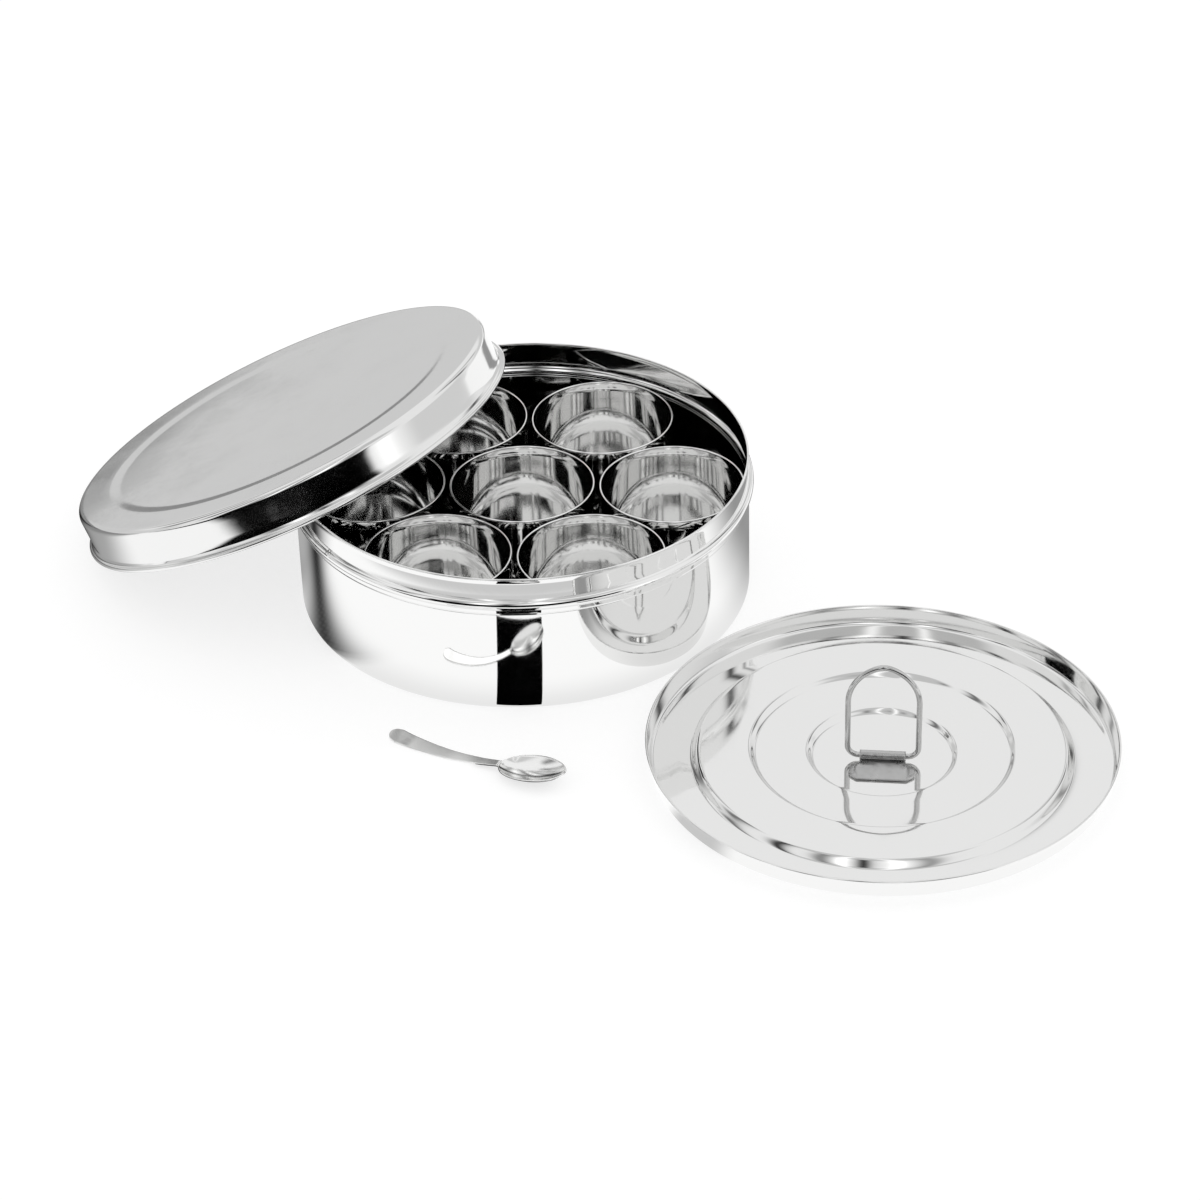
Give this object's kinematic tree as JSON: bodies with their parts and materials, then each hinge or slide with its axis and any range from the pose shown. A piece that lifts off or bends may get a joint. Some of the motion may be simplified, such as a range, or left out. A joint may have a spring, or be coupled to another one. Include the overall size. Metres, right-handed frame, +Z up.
{
  "type": "spice box",
  "caption": "Round steel spice box (masala dabba), open: loose cups inside, outer lid leaning on the rim, inner lid with a folding ring and a small spoon beside it.",
  "frame": {"origin": "centre of the underside of the box's base, on the surface it stands on", "axes": "+Z up along the box's axis; +Y away from the viewer, so the leaning lid is towards -X and the inner lid towards +X and -Y"},
  "size_m": [0.4943, 0.4281, 0.1117],
  "materials": {
    "box_body": "mirror-polished stainless steel",
    "cup_centre": "mirror-polished stainless steel",
    "cup_1": "mirror-polished stainless steel",
    "cup_2": "mirror-polished stainless steel",
    "cup_3": "mirror-polished stainless steel",
    "cup_4": "mirror-polished stainless steel",
    "cup_5": "mirror-polished stainless steel",
    "cup_6": "mirror-polished stainless steel",
    "inner_lid": "mirror-polished stainless steel",
    "ring_handle": "mirror-polished stainless steel",
    "outer_lid": "mirror-polished stainless steel",
    "spoon": "mirror-polished stainless steel",
    "handle_clip": "satin stainless steel"
  },
  "bodies": {
    "box": {"box_body": "box_body"},
    "cup_centre": {"cup_centre": "cup_centre"},
    "cup_1": {"cup_1": "cup_1"},
    "cup_2": {"cup_2": "cup_2"},
    "cup_3": {"cup_3": "cup_3"},
    "cup_4": {"cup_4": "cup_4"},
    "cup_5": {"cup_5": "cup_5"},
    "cup_6": {"cup_6": "cup_6"},
    "inner_lid": {"inner_lid": "inner_lid", "handle_clip": "handle_clip"},
    "ring_handle": {"ring_handle": "ring_handle"},
    "outer_lid": {"outer_lid": "outer_lid"},
    "spoon": {"spoon": "spoon"}
  },
  "joints": [
    {"name": "cup_centre_lift", "type": "slide", "parent": "box", "child": "cup_centre", "axis": [0, 0, 1], "range_m": [0, 0.03]},
    {"name": "cup_1_lift", "type": "slide", "parent": "box", "child": "cup_1", "axis": [0, 0, 1], "range_m": [0, 0.12]},
    {"name": "cup_2_lift", "type": "slide", "parent": "box", "child": "cup_2", "axis": [0, 0, 1], "range_m": [0, 0.12]},
    {"name": "cup_3_lift", "type": "slide", "parent": "box", "child": "cup_3", "axis": [0, 0, 1], "range_m": [0, 0.018]},
    {"name": "cup_4_lift", "type": "slide", "parent": "box", "child": "cup_4", "axis": [0, 0, 1], "range_m": [0, 0.017]},
    {"name": "cup_5_lift", "type": "slide", "parent": "box", "child": "cup_5", "axis": [0, 0, 1], "range_m": [0, 0.021]},
    {"name": "cup_6_lift", "type": "slide", "parent": "box", "child": "cup_6", "axis": [0, 0, 1], "range_m": [0, 0.12]},
    {"name": "outer_lid_lift", "type": "slide", "parent": "box", "child": "outer_lid", "axis": [0, 0, 1], "range_m": [0, 0.15]},
    {"name": "inner_lid_lift", "type": "slide", "parent": "box", "child": "inner_lid", "axis": [0, 0, 1], "range_m": [0, 0.15]},
    {"name": "ring_handle_fold", "type": "hinge", "parent": "inner_lid", "child": "ring_handle", "pos_m": [0.1634, -0.1577, 0.0032], "axis": [0.9925, -0.1219, 0], "range_deg": [-86, 86]},
    {"name": "spoon_lift", "type": "slide", "parent": "box", "child": "spoon", "axis": [0, 0, 1], "range_m": [0, 0.15]}
  ]
}
